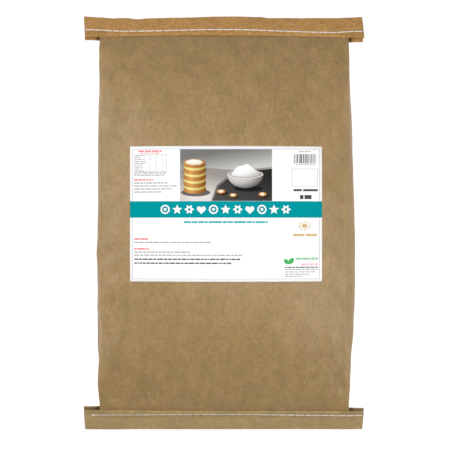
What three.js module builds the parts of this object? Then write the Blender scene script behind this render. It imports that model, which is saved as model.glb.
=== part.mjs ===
// A gusseted kraft paper sack of icing sugar, full and lying on its back.
// Both ends are closed by a folded paper tape that is sewn through the flattened mouth,
// and a paper label is stuck on the front panel.
// Millimetres: X across the sack, Y up its length, Z out of its front, the floor at Z = 0.

import * as THREE from "three";

// Driving dimensions of the whole
const BAG_LENGTH = 460.8; // fold of one closing tape to fold of the other
const TAPE_LENGTH = 312.6; // the tapes stand out past the sack on both sides
const PANEL_WIDTH = 279; // front panel from crease to crease, flat at the seams
const GUSSET_WIDTH = 66; // side panel, folded in half inside each seam
const FULL_HEIGHT = 90; // thickness of the filled sack at its middle
const GAP = 0.3; // air between pieces that touch

// The filled sack
const SEAM_HEIGHT = 34; // height of the two seams above the floor
const STACK = 1.6; // all plies of the flattened mouth
const SPAN = 214.5; // middle of the sack to either line of stitches
const MOUTH = 227.2; // middle of the sack to the cut edge of its paper
const FRONT_CREASE = 60; // height of the front panel's side creases at the middle
const BACK_CREASE = 5; // height of the back panel's side creases at the middle
const CREASE_PULL = 4.5; // how far the creases are drawn in where the front is crowned
const CREST_SKEW = 22; // the crest of the front runs slightly askew
const SEAM_SAG = 5; // how far the seams' corners hang below their middles
const SAG_START = 0.6; // share of the way to the seams where the corners begin to sag
const FLAT_WIDTH = 0.6; // share of the back's width that lies on the floor
const FLAT_LENGTH = 0.55; // share of the back's length that lies on the floor
const BACK_CREASE_RISE = 0.35; // share of the length where the back's side creases begin to rise
const TUCK_LENGTH = 100; // the gusset's inward fold fades out over this length from the stitches
const TUCK_START = 4; // the fold opens over this length
const CREASE_LIP = 0.7; // share of the side's height that the gusset's fold takes up
const SIDE_FULLNESS = { open: 2, tucked: 12 }; // the higher, the squarer the side stands out from its creases
const SIDES = {
  left: { sign: -1, swell: 6.7, crest: -30, power: 2.7 },
  right: { sign: 1, swell: 11.2, crest: -41, power: 1.85 },
};
const SWELL_REACH = 205; // the sides are straight from here to the seams
const SIDE_STEPS = [0.88, CREASE_LIP, 0.45, 0.2, 0, -0.2, -0.45, -CREASE_LIP, -0.88];

// Powers of the sack's curves: the higher, the flatter its middle and the fuller its shoulders
const FRONT_CURVE = { middle: 3, crease: 2.6, across: 2.4 };
const BACK_CURVE = { middle: 1.9, crease: 1.8, across: 2 };

// The closing tapes: how far each edge is from the middle of the sack.
// A row of stitches is a list of places, from -1 to 1 along the tape, and how far out it is there.
const TAPE_THICKNESS = 0.6;
const EAR_GAP = 0.3; // half the gap between a tape's plies past the sack
const EAR_FLARE = 0.09; // how fast those plies part past the stitches
const EAR_CLOSE = [1.5, 9]; // the plies close over this stretch past the sack
const FOLD_WAVES = 6; // waves of the fold from end to end
const FOLD_BOW = 0.55; // share of the fold's ripple that is one bow from end to end
const SLOPE_GAP = 1.4; // times the usual air where the tape lies on the sloping sack
const FOLD_TURN = Math.SQRT1_2; // one point halfway round each side of the fold
const TOP_TAPE = {
  name: "top_tape",
  end: 1,
  color: 0xaa8352,
  frontEdge: 207.6,
  frontBow: 2.2,
  backEdge: 203.1,
  slant: 1.1,
  stitches: [[-1, 216.1], [-0.7, 214], [0, 215.7], [0.77, 212.7], [1, 214.4]],
  ripple: 1.0,
};
const BOTTOM_TAPE = {
  name: "bottom_tape",
  end: -1,
  color: 0x9f8860,
  frontEdge: 210.0,
  frontBow: -0.4,
  backEdge: 206.1,
  slant: -0.95,
  stitches: [[-1, 215], [0, 214], [1, 215.7]],
  ripple: 0.35,
};

// The sewing thread
const STITCH_PITCH = 9.6;
const THREAD_RADIUS = 0.7;
const NEEDLE_PINCH = 0.5; // share of the radius left where the needle went in
const STITCH_PHASES = [[0, NEEDLE_PINCH], [0.28, 1], [0.72, 1]]; // part of a stitch, share of the radius
const THREAD_INSET = 1; // the top thread's first stitch starts this far in from the tape's end
const THREAD_SIDES = 5;
const BOTTOM_THREAD_START = -148.2; // the lower row starts short of the tape's end

// The label
const LABEL = { width: 210, height: 148.5, x: 2, y: 9.7, thickness: 0.3 };

// How finely the pieces are divided
const SACK_ROWS = 18; // from the middle of the sack to a seam
const ROW_CROWDING = 1.4; // the rows lie closer together towards the seams
const PANEL_STEPS = 20; // across the front and the back
const TAPE_STEPS = 24; // along a tape, over the sack's width
const LABEL_STEPS = [16, 12];

const STACK_TOP = SEAM_HEIGHT + STACK / 2;
const STACK_BOTTOM = SEAM_HEIGHT - STACK / 2;

// Zero up to a share of the way, then rising to one
function ease(t, from, power) {
  return Math.max(0, (t - from) / (1 - from)) ** power;
}

function smooth(t) {
  const s = Math.min(1, Math.max(0, t));
  return s * s * (3 - 2 * s);
}

// How far a station is from the middle of the sack, as a share of the way to the stitches
function reach(y) {
  return Math.min(1, Math.abs(y) / SPAN);
}

// The value at t on a smooth way through pairs of a place and its value
function follow(route, t) {
  const next = Math.min(route.length - 1, Math.max(1, route.findLastIndex(([place]) => place <= t) + 1));
  const [from, first] = route[next - 1];
  const [to, second] = route[next];
  return first + (second - first) * smooth((t - from) / (to - from));
}

function creaseX(y) {
  return PANEL_WIDTH / 2 - CREASE_PULL * (1 - reach(y) ** 2);
}

function droop(xi, y) {
  return SEAM_SAG * xi ** 2 * ease(reach(y), SAG_START, 2);
}

// Height of the front panel, where xi runs from -1 to 1 between its creases
function frontZ(xi, y) {
  const u = reach(y + CREST_SKEW * xi * (1 - reach(y) ** 2));
  const middle = STACK_TOP + (FULL_HEIGHT - STACK_TOP) * (1 - u ** FRONT_CURVE.middle);
  const edge = STACK_TOP + (FRONT_CREASE - STACK_TOP) * (1 - u ** FRONT_CURVE.crease);
  return edge + (middle - edge) * (1 - Math.abs(xi) ** FRONT_CURVE.across) - droop(xi, y);
}

// Height of the back panel, flat on the floor over its middle
function backZ(xi, y) {
  const u = reach(y);
  const middle = STACK_BOTTOM * ease(u, FLAT_LENGTH, BACK_CURVE.middle);
  const rise = ease(u, BACK_CREASE_RISE, BACK_CURVE.crease);
  const edge = BACK_CREASE + (STACK_BOTTOM - BACK_CREASE) * rise;
  return middle + (edge - middle) * ease(Math.abs(xi), FLAT_WIDTH, BACK_CURVE.across) - droop(xi, y);
}

function swell(side, y) {
  const above = y > side.crest;
  const far = above ? SWELL_REACH - side.crest : SWELL_REACH + side.crest;
  const t = Math.min(1, Math.abs(y - side.crest) / far);
  return side.swell * (1 - t ** side.power);
}

// How far the gusset is folded in, as a share of half its width
function tuck(y) {
  const inside = SPAN - Math.abs(y);
  if (inside <= 0) return 0;
  return Math.min(1, inside / TUCK_START) * Math.max(0, 1 - inside / TUCK_LENGTH) ** 2;
}

// A point of the side panel, where v runs from 1 at the front crease to -1 at the back
function sidePoint(side, v, y) {
  const front = frontZ(side.sign, y);
  const back = backZ(side.sign, y);
  const fold = tuck(y) * (GUSSET_WIDTH / 2) * Math.max(0, 1 - Math.abs(v) / CREASE_LIP);
  const fullness = SIDE_FULLNESS.open + (SIDE_FULLNESS.tucked - SIDE_FULLNESS.open) * tuck(y);
  const out = creaseX(y) + swell(side, y) * (1 - Math.abs(v) ** fullness) - fold;
  return new THREE.Vector3(side.sign * out, y, (front + back) / 2 + (v * (front - back)) / 2);
}

// A closed solid through loops of points of equal number, with a cap over the first and last loop
function loft(loops, cap) {
  const count = loops[0].length;
  const points = loops.flat();
  const faces = [];
  for (let row = 0; row + 1 < loops.length; row++) {
    for (let i = 0; i < count; i++) {
      const a = row * count + i;
      const b = row * count + ((i + 1) % count);
      faces.push([a, b, b + count], [a, b + count, a + count]);
    }
  }
  const last = (loops.length - 1) * count;
  const ends = [0, last].map((first) => steps(count - 1, first, first + count - 1));
  faces.push(...cap(ends[0].reverse(), points), ...cap(ends[1], points));
  return facingOut(points, faces);
}

// A cap for a loop that its own centre sees all round: a fan about that centre
function fanCap(ring, points) {
  const centre = new THREE.Vector3();
  ring.forEach((i) => centre.addScaledVector(points[i], 1 / ring.length));
  points.push(centre);
  return ring.map((a, i) => [a, ring[(i + 1) % ring.length], points.length - 1]);
}

// A cap for a loop that runs out along one skin and back along another: a strip between them
function stripCap(ring) {
  const far = ring.length - 1;
  const faces = [];
  for (let i = 0; i + 1 < ring.length / 2; i++) {
    faces.push([ring[i], ring[i + 1], ring[far - i]], [ring[i + 1], ring[far - i - 1], ring[far - i]]);
  }
  return faces;
}

// Turns the faces over if they enclose a negative volume
function facingOut(points, faces) {
  const sixfold = faces.reduce(
    (sum, [a, b, c]) => sum + points[a].dot(new THREE.Vector3().crossVectors(points[b], points[c])),
    0,
  );
  const order = sixfold < 0 ? [0, 2, 1] : [0, 1, 2];
  const corners = faces.flatMap((face) => order.map((k) => points[face[k]]));
  const geometry = new THREE.BufferGeometry().setFromPoints(corners);
  geometry.computeVertexNormals();
  return geometry;
}

function steps(count, from, to) {
  return Array.from({ length: count + 1 }, (_, i) => from + ((to - from) * i) / count);
}

// Stations along the sack, close together near the seams where it opens
function sackStations() {
  const rising = steps(SACK_ROWS, 1, 0).map((t) => SPAN * (1 - t ** ROW_CROWDING));
  const upper = [...rising, MOUTH];
  return [...upper.slice(1).map((y) => -y).reverse(), ...upper];
}

function sackLoop(y) {
  const front = steps(PANEL_STEPS, -1, 1).map((xi) => new THREE.Vector3(xi * creaseX(y), y, frontZ(xi, y)));
  const back = steps(PANEL_STEPS, 1, -1).map((xi) => new THREE.Vector3(xi * creaseX(y), y, backZ(xi, y)));
  const right = SIDE_STEPS.map((v) => sidePoint(SIDES.right, v, y));
  const left = SIDE_STEPS.map((v) => sidePoint(SIDES.left, -v, y));
  return [...front, ...right, ...back, ...left];
}

function sack() {
  return loft(sackStations().map(sackLoop), fanCap);
}

// Half the gap inside a tape at x, for the ply on the front (ply 1) or on the back (ply -1)
function halfGap(tape, ply, x, along) {
  const y = tape.end * along;
  const inside = Math.max(-1, Math.min(1, x / creaseX(y)));
  const middle = SEAM_HEIGHT - droop(inside, y);
  const paper = ply > 0 ? frontZ(inside, y) - middle : middle - backZ(inside, y);
  const free = Math.max(0, SPAN - along);
  const overSack = paper + GAP * (free > 0 ? SLOPE_GAP : 1);
  const past = Math.abs(x) - PANEL_WIDTH / 2;
  const closed = smooth((past - EAR_CLOSE[0]) / (EAR_CLOSE[1] - EAR_CLOSE[0]));
  return overSack + (EAR_GAP + EAR_FLARE * free - overSack) * closed;
}

// Height of the plane between a tape's two plies
function seamZ(tape, x, along) {
  return SEAM_HEIGHT - droop(x / (PANEL_WIDTH / 2), tape.end * along);
}

// The tape's fold bows back towards its ends and is slightly wavy
function foldAt(tape, x) {
  const t = x / (TAPE_LENGTH / 2);
  const wave = (1 - Math.cos(Math.PI * FOLD_WAVES * t)) / 2;
  return BAG_LENGTH / 2 - tape.ripple * (FOLD_BOW * t * t + (1 - FOLD_BOW) * wave);
}

function stitchAt(tape, x) {
  return follow(tape.stitches, x / (TAPE_LENGTH / 2));
}

// One cross-section of a folded tape: out along the outer faces and back along the inner ones
function tapeLoop(tape, x) {
  const t = x / (TAPE_LENGTH / 2);
  const fold = foldAt(tape, x);
  const edges = [
    tape.frontEdge + tape.frontBow * (1 - t * t) - (tape.slant / 2) * t,
    tape.backEdge - tape.slant * t,
  ];
  const place = (along, out) => new THREE.Vector3(x, tape.end * along, seamZ(tape, x, along) + out);
  const face = (ply, thickness) => {
    const edge = edges[ply > 0 ? 0 : 1];
    const hold = Math.min(stitchAt(tape, x), SPAN);
    const round = halfGap(tape, ply, x, MOUTH) + thickness;
    const turn = fold - TAPE_THICKNESS + thickness - round;
    const flat = [edge, (edge + hold) / 2, hold, (hold + turn) / 2, turn];
    const halfway = round * FOLD_TURN;
    return flat
      .map((along) => place(along, ply * (halfGap(tape, ply, x, along) + thickness)))
      .concat([place(turn + halfway, ply * halfway)]);
  };
  const tip = (thickness) => place(fold - TAPE_THICKNESS + thickness, 0);
  const skin = (thickness) => [...face(1, thickness), tip(thickness), ...face(-1, thickness).reverse()];
  return [...skin(TAPE_THICKNESS), ...skin(0).reverse()];
}

// Stations along a tape, with some where its plies close past the sack
function tapeStations() {
  const half = PANEL_WIDTH / 2;
  const ear = [...steps(2, EAR_CLOSE[0], EAR_CLOSE[1]).map((past) => half + past), TAPE_LENGTH / 2];
  return [...ear.map((x) => -x).reverse(), ...steps(TAPE_STEPS, -half, half), ...ear];
}

function tapeGeometry(tape) {
  return loft(tapeStations().map((x) => tapeLoop(tape, x)), stripCap);
}

// Places along a row of stitches with the share of the full radius that the thread has there
function stitchRow(from, to) {
  const count = Math.round(Math.abs(to - from) / STITCH_PITCH);
  const places = [];
  for (let i = 0; i < count; i++) {
    for (const [phase, share] of STITCH_PHASES) {
      places.push({ x: from + ((to - from) * (i + phase)) / count, share });
    }
  }
  places.push({ x: to, share: NEEDLE_PINCH });
  return places;
}

// The thread lies along the front of the tape, turns round the tape's end and returns behind it.
// A row that starts at the tape's other end turns half round that end too.
function threadPath(tape, start) {
  const end = TAPE_LENGTH / 2;
  const node = (ply, x, share, beyond = 0) => {
    const along = stitchAt(tape, x);
    const radius = THREAD_RADIUS * share;
    const out = halfGap(tape, ply, x, along) + TAPE_THICKNESS + GAP + radius;
    const z = seamZ(tape, x, along) + ply * out;
    return { at: new THREE.Vector3(x + beyond, tape.end * along, z), radius };
  };
  const row = (ply, from, to) => stitchRow(from, to).map(({ x, share }) => node(ply, x, share));
  const beyond = GAP + THREAD_RADIUS;
  const turn = (x, ply) => node(ply, x, 1, Math.sign(x) * beyond);
  const last = end - THREAD_INSET;
  const path = [...row(1, start, last), turn(end, 1), turn(end, -1), ...row(-1, last, start)];
  return start > -last ? path : [turn(-end, 1), ...path, turn(-end, -1)];
}

// A round strand through the places of a path that never runs along Y
function strand(path) {
  const across = new THREE.Vector3(0, 1, 0);
  const loops = path.map(({ at, radius }, i) => {
    const before = path[Math.max(0, i - 1)].at;
    const after = path[Math.min(path.length - 1, i + 1)].at;
    const ahead = new THREE.Vector3().subVectors(after, before).setY(0).normalize();
    const up = new THREE.Vector3().crossVectors(ahead, across);
    const round = (a) =>
      at.clone().addScaledVector(across, radius * Math.cos(a)).addScaledVector(up, radius * Math.sin(a));
    return steps(THREAD_SIDES, 0, 2 * Math.PI).slice(0, -1).map(round);
  });
  return loft(loops, fanCap);
}

// The label follows the front panel
function labelLoop(x) {
  const heights = steps(LABEL_STEPS[1], LABEL.y - LABEL.height / 2, LABEL.y + LABEL.height / 2);
  const at = (y, lift) => new THREE.Vector3(x, y, frontZ(x / creaseX(y), y) + lift);
  const under = heights.map((y) => at(y, GAP));
  const over = heights.map((y) => at(y, GAP + LABEL.thickness)).reverse();
  return [...under, ...over];
}

function label() {
  const stations = steps(LABEL_STEPS[0], LABEL.x - LABEL.width / 2, LABEL.x + LABEL.width / 2);
  return loft(stations.map(labelLoop), stripCap);
}

const kraft = new THREE.MeshStandardMaterial({ color: 0x9f8659, roughness: 0.85, metalness: 0 });
const cotton = new THREE.MeshStandardMaterial({ color: 0xeeebe4, roughness: 0.9, metalness: 0 });
const print = new THREE.MeshStandardMaterial({ color: 0xf7f7f5, roughness: 0.5, metalness: 0 });

function piece(name, geometry, material) {
  const mesh = new THREE.Mesh(geometry, material);
  mesh.name = name;
  return mesh;
}

function tapePiece(tape) {
  const paper = new THREE.MeshStandardMaterial({ color: tape.color, roughness: 0.85, metalness: 0 });
  return piece(tape.name, tapeGeometry(tape), paper);
}

const bag = new THREE.Group();
bag.name = "bag_of_sugar";
bag.add(
  piece("sack", sack(), kraft),
  piece("label", label(), print),
  tapePiece(TOP_TAPE),
  tapePiece(BOTTOM_TAPE),
  piece("top_thread", strand(threadPath(TOP_TAPE, THREAD_INSET - TAPE_LENGTH / 2)), cotton),
  piece("bottom_thread", strand(threadPath(BOTTOM_TAPE, BOTTOM_THREAD_START)), cotton),
);

export default bag;
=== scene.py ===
# A full kraft paper sack of icing sugar, lying on its back and seen from straight above.
# Metres: X across the sack, Y up its length, Z out of its front, the floor at Z = 0.

import math
import random
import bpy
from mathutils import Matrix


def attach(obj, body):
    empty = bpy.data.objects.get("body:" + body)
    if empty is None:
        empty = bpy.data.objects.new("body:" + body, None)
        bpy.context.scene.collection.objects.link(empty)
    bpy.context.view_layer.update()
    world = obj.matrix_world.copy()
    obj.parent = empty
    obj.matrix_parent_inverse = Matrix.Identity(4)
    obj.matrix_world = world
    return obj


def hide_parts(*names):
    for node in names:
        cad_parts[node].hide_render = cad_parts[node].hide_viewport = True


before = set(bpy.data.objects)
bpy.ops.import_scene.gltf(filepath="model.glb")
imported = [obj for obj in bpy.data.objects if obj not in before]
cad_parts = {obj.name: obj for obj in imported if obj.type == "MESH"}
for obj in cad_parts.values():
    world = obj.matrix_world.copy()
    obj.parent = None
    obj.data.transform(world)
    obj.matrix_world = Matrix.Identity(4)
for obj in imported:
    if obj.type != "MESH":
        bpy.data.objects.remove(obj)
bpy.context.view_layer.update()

from types import SimpleNamespace

import bpy
import numpy as np
from mathutils import Vector, noise
from mathutils.bvhtree import BVHTree
from mathutils.geometry import delaunay_2d_cdt

MM = 0.001

# The filled sack, in the sizes of its solid
BAG_LENGTH = 460.8 * MM
TAPE_LENGTH = 312.6 * MM
PANEL_WIDTH = 279 * MM
GUSSET_WIDTH = 66 * MM
FULL_HEIGHT = 90 * MM
SEAM_HEIGHT = 34 * MM
STACK = 1.6 * MM
SPAN = 214.5 * MM
MOUTH = 227.2 * MM
FRONT_CREASE = 60 * MM
BACK_CREASE = 5 * MM
CREASE_PULL = 4.5 * MM
CREST_SKEW = 22 * MM
SEAM_SAG = 5 * MM
SAG_START = 0.6
FLAT_WIDTH = 0.6
FLAT_LENGTH = 0.55
BACK_CREASE_RISE = 0.35
TUCK_LENGTH = 100 * MM
TUCK_START = 4 * MM
CREASE_LIP = 0.7
SIDE_FULLNESS = {"open": 2, "tucked": 12}
SIDES = {
    "left": {"sign": -1, "swell": 6.7 * MM, "crest": -30 * MM, "power": 2.7},
    "right": {"sign": 1, "swell": 11.2 * MM, "crest": -41 * MM, "power": 1.85},
}
SWELL_REACH = 205 * MM
FRONT_CURVE = {"middle": 3, "crease": 2.6, "across": 2.4}
BACK_CURVE = {"middle": 1.9, "crease": 1.8, "across": 2}
STACK_TOP = SEAM_HEIGHT + STACK / 2
STACK_BOTTOM = SEAM_HEIGHT - STACK / 2

# How finely the sack's skin is divided before it is subdivided
PANEL_CELLS = 60
SIDE_CELLS = 16
SKIN_ROWS = 50
ROW_CROWDING = 1.35
CREASE_FIRMNESS = (0.35, 0.85)  # at the middle of the sack and at its ends

# The paper's own small forms
TAPE_REACH = 203 * MM  # the skin keeps its plain form under the tapes, from here out
PUCKER_DEPTH = 1.0 * MM
PUCKER_FADE = 34 * MM
BUCKLE_DEPTH = 1.35 * MM
UNDULATION = 1.2 * MM
FACET_DEPTH = 0.45 * MM
LUMPS = {"pucker": 62, "fine pucker": 130, "buckle": 42, "broad": 14, "facet": 36}  # to a metre
LABEL_CALM = 0.75  # share of the small forms that the label smooths out under it
GUSSET_GROOVE = 0.7 * MM
SIM_FRAMES = 20
SIM_CAP = 5 * MM
SIM_CALM = 0.86  # how much the front is held still round the label
FOLD_SPREAD = {"all ways": 60, "round": 40}  # rounds of smoothing that part the folds from the broad form
SIM_PAPER = {
    "quality": 5,
    "mass": 0.1,
    "tension_stiffness": 40,
    "compression_stiffness": 40,
    "shear_stiffness": 20,
    "bending_stiffness": 6,
    "use_pressure": True,
    "uniform_pressure_force": 4,
    "shrink_min": -0.03,
}
FRONT_FOLDS = 0.42  # shares of the simulated folds that the panels keep
BACK_FOLDS = 0.6
OUTLINE_FOLDS = 0.1
OUTLINE_SLACK = 0.4 * MM  # how far the folds may draw in the widest points of a loop

# The sack's paper
KRAFT_GLOSS = 0.4
STEEP_GLOSS = 0.2  # the paper is duller where its surface turns steeply away from up, round the sides, and painted darker there as shade
STEEP_SHADE = 0.94
KRAFT_GRAIN = [  # scale, roughness and stretch of a noise, and how much it varies the colour
    (32, 0.5, (1, 0.8, 1), 0.045),
    (72, 0.5, (1.2, 0.8, 1), 0.06),
    (150, 0.6, (1.4, 0.8, 1), 0.062),
    (320, 0.6, (1.3, 0.8, 1), 0.09),
    (900, 0.7, (1.2, 0.9, 1), 0.095),
]

# The label
LABEL_SHEET = (210, 148.5)  # millimetres
LABEL_WIDTH = 211.2 * MM  # as it lies, smoothed out over the full sack
LABEL_HEIGHT = 148.5 * MM
LABEL_CENTRE = (2 * MM, 9.7 * MM)
LABEL_CELL = 4.0  # millimetres on the label, the longest stretch without a point
PICTURE_CELL = 1.5
LABEL_LIFT = 0.1 * MM
LABEL_THICKNESS = 0.16 * MM

# The closing tapes
TAPE_THICKNESS = 0.6 * MM
INNER_SKIN = TAPE_THICKNESS / 4  # where a ply's inner face lies, measured like its thickness
GAP = 0.3 * MM
SLOPE_GAP = 1.4
EAR_GAP = 0.3 * MM
EAR_FLARE = 0.09
EAR_CLOSE = (0.8 * MM, 5 * MM)
CUT_START = 207 * MM  # the tapes' ends are cut straight from their edges to here, and curve in beyond
TAPE_CELLS = 200
# Painted light: the tapes' front edges are drawn lighter where they climb the full sack, against the shade
# of the slope
TAPE_SLOPE_LIGHT = 1.27  # how much lighter the tapes' front edges are, where they climb the full sack
HOLD = 1.6 * MM  # how far the stitches press the tape down on each side of their row
# Painted shade: the brown towards which the tapes' pockets, needle holes and thread groove are darkened,
# and how far
POCKET_SHADE_BROWN = (70, 42, 18)
POCKET_SHADE_DEPTH = 0.88
TOP_TAPE = SimpleNamespace(
    name="top_tape",
    yellow=(170, 132, 68),
    pink=(175, 129, 85),
    fine=1.0,
    cotton=((250, 247, 243), (222, 217, 208)),
    end=1,
    front_edge=206.8 * MM,
    front_bow=2.2 * MM,
    back_edge=203.1 * MM,
    slant=1.1 * MM,
    stitches=[(-1, 216.1), (-0.7, 214), (0, 215.7), (0.77, 212.7), (1, 214.4)],
    fold_dip=[
        (-1, -0.9), (-0.9, 0.3), (-0.8, 1.7), (-0.71, 1.3), (-0.62, 2.8), (-0.54, 1.8), (-0.26, 1),
        (-0.02, 0), (0.08, 0), (0.25, 0.5), (0.34, 1.8), (0.6, 1.6), (0.81, 1.3), (0.9, 0.7), (1, -0.1),
    ],
    scallop=0.3 * MM,
    cut={-1: (-0.85, 0.15), 1: (2.1, -0.5)},
    back_cut={-1: 0.0, 1: 1.4},
    # Painted shade: dim darkens the back ply's pocket, and the groove strength darkens a line beside the
    # thread
    dim=0.0,
    quilt=0.22 * MM,
    groove_shade=0.0,
    thread_start=-155.5 * MM,
    tail=0,
    seed=11,
)
BOTTOM_TAPE = SimpleNamespace(
    name="bottom_tape",
    yellow=(158, 137, 88),
    pink=(162, 135, 98),
    fine=0.6,
    cotton=((240, 235, 228), (206, 198, 184)),
    end=-1,
    front_edge=210.0 * MM,
    front_bow=-0.4 * MM,
    back_edge=206.1 * MM,
    slant=-0.95 * MM,
    stitches=[(-1, 215), (0, 214), (1, 215.7)],
    fold_dip=[(-1, -0.9), (-0.85, -0.9), (-0.55, -0.3), (0.4, -0.2), (0.7, -0.4), (0.87, -0.8), (1, -0.6)],
    scallop=0.06 * MM,
    cut={-1: (0.5, -0.9), 1: (1.8, 0.1)},
    back_cut={-1: 0.0, 1: 0.0},
    # Painted shade: dim darkens the back ply's pocket, and the groove strength darkens a line beside the
    # thread
    dim=0.95,
    quilt=0.08 * MM,
    groove_shade=0.35,
    thread_start=-148.2 * MM,
    tail=3.4 * MM,
    seed=23,
)

# The sewing thread
STITCH_PITCH = 9.6 * MM
PLY_RADIUS = 0.38 * MM
PLY_OFFSET = 0.33 * MM
PLY_TWIST = 4.2 * MM
UNEVEN_STITCH = 1.5 * MM
SUNK_END = 0.5 * MM
THIN_END = 0.35
STITCH_RISE = 0.13  # share of a stitch over which it comes up out of its hole
BACK_PLY = 0.75 * PLY_RADIUS
BACK_SPREAD = 0.55 * MM  # how far the two strands of a stitch lie apart on the back

# Camera and light
CAMERA_HEIGHT = 2.6
CAMERA_AXIS = (0.84 * MM, -2.5 * MM)
CAMERA_LENS = 183.8
CAMERA_SENSOR = 36
CAMERA_REACH = 20
# Azimuth and elevation in degrees, and watts
SOFT_BOXES = [(165, 45, 6.9), (172, 25, 6.2), (330, 25, 3.0), (345, 45, 9.6), (90, 45, 1.4)]
FLOOR_REACH = 15
FLOOR_TURN = 1.0
WALL_HEIGHT = 1.9
FLOOR_SIDES = 48
FLOOR_GLOW = 0.8
BOX_DISTANCE = 1.7
BOX_SIZE = 0.7
OVERHEAD = {"place": (0, 0, 0.7), "size": 0.35, "power": 1.9}
WORLD_LIGHT = 0.11


def ease(t, start, power):
    """Zero up to a share of the way, then rising to one."""
    return (np.maximum(0, np.asarray(t, float) - start) / (1 - start)) ** power


def smooth(t):
    s = np.clip(t, 0, 1)
    return s * s * (3 - 2 * s)


def hump(off, wide):
    """One where off is nothing, falling to nothing over about that width."""
    return np.exp(-((off / wide) ** 2))


def follow(route, t):
    """The value at t on a smooth way through pairs of a place and its value."""
    places = [place for place, _ in route]
    i = int(np.clip(np.searchsorted(places, t, side="right"), 1, len(route) - 1))
    (start, first), (end, second) = route[i - 1], route[i]
    return first + (second - first) * float(smooth((t - start) / (end - start)))


def reach(y):
    return np.minimum(1, np.abs(y) / SPAN)


def crease_x(y):
    return PANEL_WIDTH / 2 - CREASE_PULL * (1 - reach(y) ** 2)


def droop(xi, y):
    return SEAM_SAG * xi**2 * ease(reach(y), SAG_START, 2)


def front_z(xi, y):
    u = reach(y + CREST_SKEW * xi * (1 - reach(y) ** 2))
    middle = STACK_TOP + (FULL_HEIGHT - STACK_TOP) * (1 - u ** FRONT_CURVE["middle"])
    edge = STACK_TOP + (FRONT_CREASE - STACK_TOP) * (1 - u ** FRONT_CURVE["crease"])
    return edge + (middle - edge) * (1 - np.abs(xi) ** FRONT_CURVE["across"]) - droop(xi, y)


def back_z(xi, y):
    u = reach(y)
    middle = STACK_BOTTOM * ease(u, FLAT_LENGTH, BACK_CURVE["middle"])
    edge = BACK_CREASE + (STACK_BOTTOM - BACK_CREASE) * ease(u, BACK_CREASE_RISE, BACK_CURVE["crease"])
    return middle + (edge - middle) * ease(np.abs(xi), FLAT_WIDTH, BACK_CURVE["across"]) - droop(xi, y)


def swell(side, y):
    far = SWELL_REACH - side["crest"] if y > side["crest"] else SWELL_REACH + side["crest"]
    t = min(1, abs(y - side["crest"]) / far)
    return side["swell"] * (1 - t ** side["power"])


def tuck(y):
    """How far the gusset is folded in, as a share of half its width."""
    inside = SPAN - abs(y)
    if inside <= 0:
        return 0
    return min(1, inside / TUCK_START) * max(0, 1 - inside / TUCK_LENGTH) ** 2


def side_points(side, v, y):
    """Points of a side panel, where v runs from 1 at the front crease to -1 at the back."""
    front, back = front_z(side["sign"], y), back_z(side["sign"], y)
    fold = tuck(y) * GUSSET_WIDTH / 2 * np.maximum(0, 1 - np.abs(v) / CREASE_LIP)
    fullness = SIDE_FULLNESS["open"] + (SIDE_FULLNESS["tucked"] - SIDE_FULLNESS["open"]) * tuck(y)
    out = crease_x(y) + swell(side, y) * (1 - np.abs(v) ** fullness) - fold
    z = (front + back) / 2 + v * (front - back) / 2
    return np.stack([side["sign"] * out, np.full_like(v, y), z], 1)


def wander(points, scale, seed):
    """Smooth noise between about -1 and 1 at each point, with lumps about 1/scale metres wide."""
    shift = Vector((17.3 * seed, 5.1 * seed, 9.7 * seed))
    return np.array([noise.noise(Vector(p) * scale + shift) for p in points]) * 1.6


def new_piece(name, points, faces, material):
    mesh = bpy.data.meshes.new(name)
    mesh.from_pydata([tuple(p) for p in points], [], [tuple(f) for f in faces])
    mesh.update()
    mesh.polygons.foreach_set("use_smooth", [True] * len(mesh.polygons))
    mesh.materials.append(material)
    piece = bpy.data.objects.new(name, mesh)
    bpy.context.scene.collection.objects.link(piece)
    return piece


def bake(piece):
    """Puts what the piece's modifiers make in the place of its mesh."""
    mesh = bpy.data.meshes.new_from_object(piece.evaluated_get(bpy.context.evaluated_depsgraph_get()))
    piece.modifiers.clear()
    piece.data = mesh
    return mesh


def coordinates(mesh):
    found = np.zeros(len(mesh.vertices) * 3)
    mesh.vertices.foreach_get("co", found)
    return found.reshape(-1, 3)


def set_coordinates(mesh, points):
    mesh.vertices.foreach_set("co", np.asarray(points, np.float32).ravel())
    mesh.update()


def add_values(mesh, name, values):
    attribute = mesh.attributes.new(name, "FLOAT", "POINT")
    attribute.data.foreach_set("value", np.asarray(values, np.float32))


def loft_faces(rows, count):
    """Quads between closed loops of equal count."""
    faces = []
    for row in range(rows - 1):
        for i in range(count):
            j = (i + 1) % count
            faces.append((row * count + i, row * count + j, (row + 1) * count + j, (row + 1) * count + i))
    return faces


def outward(points, faces):
    """The faces, turned over if they enclose a negative volume."""
    sixfold = 0
    for face in faces:
        a = points[face[0]]
        for k in range(1, len(face) - 1):
            sixfold += np.dot(a, np.cross(points[face[k]], points[face[k + 1]]))
    return faces if sixfold > 0 else [tuple(reversed(face)) for face in faces]


# Colours and materials


def linear(red, green, blue):
    """A colour given as 0 to 255 on a screen, in the renderer's own scale."""
    share = [c / 255 for c in (red, green, blue)]
    return [s / 12.92 if s <= 0.04045 else ((s + 0.055) / 1.055) ** 2.4 for s in share] + [1]


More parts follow.
